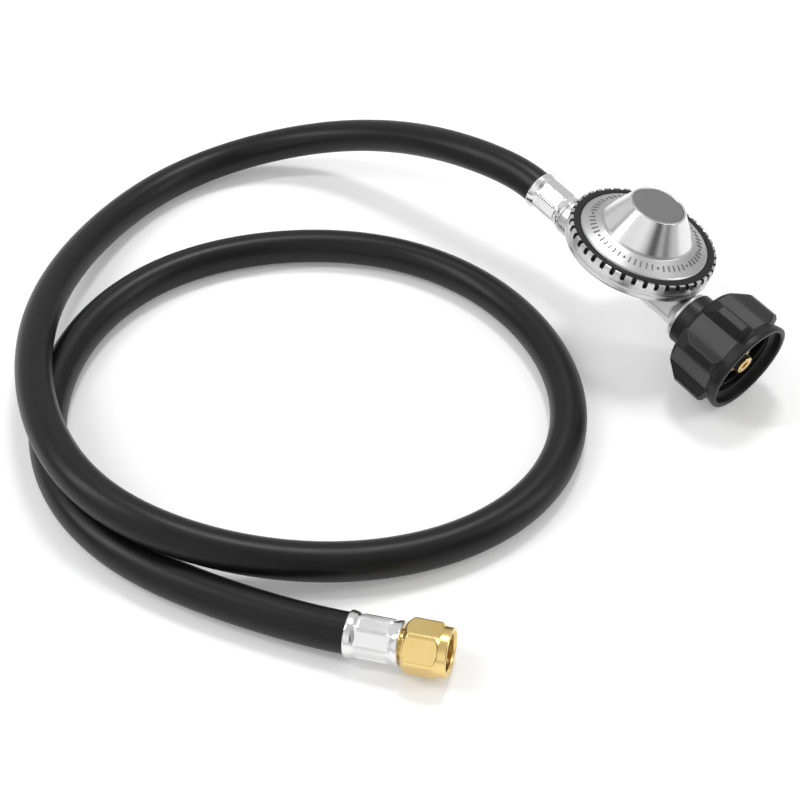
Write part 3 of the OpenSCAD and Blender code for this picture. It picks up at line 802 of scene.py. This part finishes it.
def ferrule(name, place):
    """Crimped ferrule: flared mouth, eight flats with fine ridges between them, flared outer end."""

    def flats(a):
        off = (a + math.pi / 8) % (math.pi / 4) - math.pi / 8
        ridge = 0.16 * math.exp(-(((math.pi / 8 - abs(off)) / 0.045) ** 2))
        return 7.8 / math.cos(off) - 0.05 + ridge

    corners = [(0, 8.1, 0.2), (0, 8.95, 0.3), (0.8, 9.1, 0.3), (2.6, 8.75, 0.6), (3.9, 8.15, 0.6)]
    corners += [(16.5, 7.9, 1.5), (19.4, 8.55, 0.8), (20.4, 8.7, 0.35), (21, 8.2, 0.3), (21, 5.7, 0.2)]
    corners += [(18, 5.7), (18, 6.75), (2, 6.75), (2, 8.1)]
    outline = rounded(corners, 0.2)
    stations = []
    for (x0, r0), (x1, r1) in zip(outline, outline[1:] + outline[:1]):
        shaped = min(r0, r1) > 7.6 and x1 > x0
        steps = max(1, round((x1 - x0) / 0.5)) if shaped else 1
        for k in range(steps):
            x, r = mix(x0, x1, k / steps), mix(r0, r1, k / steps)
            amount = smooth_step(x, 3.3, 4.6) * (1 - smooth_step(x, 15.8, 18.6)) if shaped else 0
            stations.append((x, lambda a, r=r, t=amount: mix(r, flats(a), t)) if amount else (x, r))
    across = (0, 7, 13, 17, 19, 20.5, 21.5, 22.5, 23.5, 24.5, 26, 28, 32, 38)
    angles = [math.radians(45 * i + d) for i in range(8) for d in across]
    return paint(turned(name, stations, place, angles=angles), "chrome")


near_ferrule = ferrule("ferrule_near", REGULATOR @ Matrix.Translation((-FERRULE_X * MM, 0, 0)))
stand_in(near_ferrule, ROOT, "ferrule_plate", "regulator_ferrule")
far_ferrule = ferrule("ferrule_far", END_FITTING)
stand_in(far_ferrule, ROOT, "ferrule_plate", "end_ferrule")

# ---- Flare nut and its stem ----


def flare_nut():
    """Swivel nut: a hexagon with turned ends and soft edges, a round nose, and the flare thread inside."""

    def hexagon(a):
        off = (a - math.radians(HEX_TURN)) % (math.pi / 3) - math.pi / 6
        return soft_min(HEX_FLATS / 2 / math.cos(off), 10.6, 0.25)

    def end_caps(x):
        return min(9.0 + 0.85 * x, 9.5 + 0.85 * (HEX_L - x))

    def outside(x):
        return lambda a: soft_min(hexagon(a), end_caps(x), 0.3)

    def thread(x, r):
        return lambda a: r + thread_depth(x, a, FLARE_PITCH, 0.65, 7, 16.4, 0.6)

    fine = [0.1 * k for k in range(31)]
    coarse = [3.5 + 0.8 * k for k in range(9)]
    stations = [(x, outside(x)) for x in fine + coarse + [HEX_L - x for x in reversed(fine)]]
    nose_end = HEX_L + 3.4
    tail = [(HEX_L, 9.4, 0.1), (nose_end, 9.4, 0.5), (nose_end, 8.2, 0.2)]
    tail += [(nose_end - 0.9, FLARE_BORE_R, 0.1), (6.8, FLARE_BORE_R, 0.1), (6.8, 7.6), (3.9, 7.6)]
    tail += [(2.4, 6.0), (2, 6.0), (2, 5.45), (0, 5.45)]
    outline = rounded([(HEX_L, 9.5), *tail, (0, 8.9)], 0.15, closed=False)[1:-1]
    for (x0, r0), (x1, r1) in zip(outline, outline[1:] + outline[-1:]):
        in_bore = abs(r0 - FLARE_BORE_R) < 0.02 and abs(r1 - FLARE_BORE_R) < 0.02
        threaded = in_bore and x0 - x1 > 2
        steps = round((x0 - x1) / 0.14) if threaded else 1
        for k in range(steps):
            x, r = mix(x0, x1, k / steps), mix(r0, r1, k / steps)
            stations.append((x, thread(x, r) if threaded else r))
    across = [2, 6, 10, 14, 18, 21, *range(23, 38), 39, 42, 46, 50, 54, 58]
    angles = [math.radians(HEX_TURN + 60 * i + d - 30) for i in range(6) for d in across]
    place = END_FITTING @ Matrix.Translation((HEX_X0 * MM, 0, 0))
    obj = turned("flare_nut_hex", stations, place, angles=angles, sharp=50)
    return paint(obj, "pale_brass")


def stem():
    """Brass stem that the hose is crimped on, with the flared seat that the nut pulls up."""
    head = HEX_X0 + 3
    corners = [(2, 3)]
    for i in range(4):
        corners += [(2 + 3.6 * i, 4.25, 0), (4.6 + 3.6 * i, 4.72, 0.1), (4.7 + 3.6 * i, 4.25, 0)]
    corners += [(18, 4.7), (18, 5.55), (FERRULE_L + 0.4, 5.55), (FERRULE_L + 0.6, 5.4), (head, 5.4, 0.4)]
    corners += [(head + 1.5, 6.9, 0.2), (head + 3.3, 6.9, 0.2), (head + 3.3, 6.5, 0.1)]
    corners += [(head + 0.2, 3.4), (head - 2, 3)]
    return paint(lathe("flared_stem", corners, END_FITTING), "brass")


end_nut = stand_in(flare_nut(), "flare_nut", "flare_nut_brass", "flare_nut")
end_stem = stand_in(stem(), ROOT, "brass", "end_stem")

# ---- Springs and diaphragm ----


def coil(name, radius, wire, length, turns, to_local):
    """A compression spring along the local axis that to_local turns it to."""
    steps = 24 * turns
    line = []
    for i in range(steps + 1):
        a = 2 * math.pi * turns * i / steps
        along = wire + (length - 2 * wire) * i / steps
        local = to_local(radius * math.cos(a), radius * math.sin(a), along)
        line.append(REGULATOR @ (Vector(local) * MM))
    return paint(tube_along(name, line, wire * MM, 8), "steel")


loading_spring = coil("loading_spring", 7.2, 0.9, LOADING_L, 5, lambda x, y, z: (x, y, LOADING_Z0 + z))
stand_in(loading_spring, ROOT, "spring_steel", "main_spring")
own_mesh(loading_spring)
gas_spring = coil("gas_spring", 3.15, 0.22, GAS_SPRING_L, 4, lambda x, y, z: (GAS_SPRING_X0 + z, y, -x))
stand_in(gas_spring, ROOT, "spring_steel", "excess_flow_spring")
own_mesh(gas_spring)


def diaphragm():
    """Rubber diaphragm with one convolution, clamped at its edge."""
    top = SEAT_Z + DIAPHRAGM_T
    corners = [(11.6, 2.8), (11.6, 19.4), (11.2, 20.6), (10.3, 22.4), (10.6, 24.4), (12.6, 26)]
    corners += [(SEAT_Z, 26.8), (SEAT_Z, DIAPHRAGM_R, 0), (top, DIAPHRAGM_R, 0), (top, 26.2)]
    corners += [(13, 25.3), (11.3, 24), (11, 22.6), (11.9, 21), (12.3, 19.8), (12.3, 2.8)]
    return paint(lathe("diaphragm_rubber", corners, REGULATOR, "Z", fillet=0.1), "seal_rubber")


rubber = stand_in(diaphragm(), ROOT, "diaphragm_rubber", "diaphragm")
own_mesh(rubber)

# ---- Materials of the CAD nodes that show as they are ----

CAD_FINISH = {
    "adjusting_screw": "brass", "diaphragm_plate": "steel", "diaphragm_stem": "brass",
    "lever": "steel", "lever_pin": "steel", "valve_poppet": "acetal", "valve_seat_pad": "seal_rubber",
    "inlet_orifice": "brass", "inlet_filter": "bronze", "inlet_nipple": "brass",
    "nipple_o_ring": "seal_rubber", "excess_flow_poppet": "brass", "thermal_bushing": "bushing_plastic",
    "vent_screen": "steel", "outlet_barb": "brass", "crimped_hose_ends": "seal_rubber",
}
for node, finish in CAD_FINISH.items():
    paint(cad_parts[node], finish)

# ---- Stage ----


def make_floor():
    """A plain pale floor, large enough to fill every view."""
    bpy.ops.mesh.primitive_plane_add(size=40, location=(0, 0, 0))
    floor = bpy.context.object
    floor.name = "floor"
    n = Nodes("floor")
    n.shader.inputs["Base Color"].default_value = (0.88, 0.88, 0.88, 1)
    n.shader.inputs["Roughness"].default_value = 0.8
    n.shader.inputs["Specular IOR Level"].default_value = 0.1
    n.shader.inputs["Emission Color"].default_value = (1, 1, 1, 1)
    n.shader.inputs["Emission Strength"].default_value = 0.14
    floor.data.materials.append(n.material)


def fill_ramp(node, stops):
    """Sets a colour ramp's stops, each a position and a grey."""
    ramp = node.color_ramp
    while len(ramp.elements) < len(stops):
        ramp.elements.new(0.5)
    for element, (position, value) in zip(ramp.elements, stops):
        element.position = position
        element.color = (value, value, value, 1)


def make_world():
    """A pale studio: plain overhead and at the horizon, with a few dark gaps round it in between."""
    world = bpy.data.worlds.new("studio")
    bpy.context.scene.world = world
    world.use_nodes = True
    tree = world.node_tree
    background = tree.nodes["Background"]
    coords = tree.nodes.new("ShaderNodeTexCoord")
    split = tree.nodes.new("ShaderNodeSeparateXYZ")
    tree.links.new(coords.outputs["Generated"], split.inputs[0])
    azimuth = tree.nodes.new("ShaderNodeMath")
    azimuth.operation = "ARCTAN2"
    tree.links.new(split.outputs["Y"], azimuth.inputs[0])
    tree.links.new(split.outputs["X"], azimuth.inputs[1])
    share = tree.nodes.new("ShaderNodeMapRange")
    share.inputs["From Min"].default_value = -math.pi
    share.inputs["From Max"].default_value = math.pi
    tree.links.new(azimuth.outputs[0], share.inputs["Value"])
    bands = tree.nodes.new("ShaderNodeValToRGB")
    around = [
        (-180, 0.8), (-152, 0.8), (-138, 0.08), (-122, 0.08), (-104, 1.0), (-56, 1.1), (-36, 0.7),
        (-24, 0.06), (-12, 0.08), (-4, 0.6), (2, 0.5), (10, 0.08), (22, 0.08), (34, 0.8), (90, 0.6),
        (180, 0.8),
    ]
    fill_ramp(bands, [((angle + 180) / 360, value) for angle, value in around])
    tree.links.new(share.outputs["Result"], bands.inputs["Fac"])
    height = tree.nodes.new("ShaderNodeValToRGB")
    fill_ramp(height, [(0.0, 1), (0.14, 1), (0.24, 0), (0.65, 0), (0.9, 1)])
    tree.links.new(split.outputs["Z"], height.inputs["Fac"])
    sky = tree.nodes.new("ShaderNodeMix")
    sky.data_type = "RGBA"
    sky.inputs["B"].default_value = (0.62, 0.62, 0.62, 1)
    tree.links.new(height.outputs["Color"], sky.inputs["Factor"])
    tree.links.new(bands.outputs["Color"], sky.inputs["A"])
    tree.links.new(sky.outputs["Result"], background.inputs["Color"])
    background.inputs["Strength"].default_value = 1.0


def soft_box(name, azimuth, elevation, distance, width, height, power):
    """An area light that looks at the middle of the object from azimuth and elevation, in degrees."""
    data = bpy.data.lights.new(name, "AREA")
    data.shape, data.size, data.size_y, data.energy = "RECTANGLE", width, height, power
    lamp = bpy.data.objects.new(name, data)
    bpy.context.scene.collection.objects.link(lamp)
    a, e = math.radians(azimuth), math.radians(elevation)
    away = Vector((math.cos(a) * math.cos(e), math.sin(a) * math.cos(e), math.sin(e)))
    middle = Vector((-0.07, -0.1, 0.02))
    lamp.location = middle + away * distance
    lamp.rotation_euler = away.to_track_quat("Z", "Y").to_euler()
    lamp.visible_camera = False
    return lamp


make_floor()
make_world()
soft_box("key_back", 125, 70, 1.5, 0.3, 0.3, 7)
soft_box("key_left", -125, 45, 1.4, 0.12, 0.9, 6)
soft_box("fill_right", 40, 35, 1.4, 0.15, 0.9, 3)
bpy.context.scene.view_settings.view_transform = "Standard"
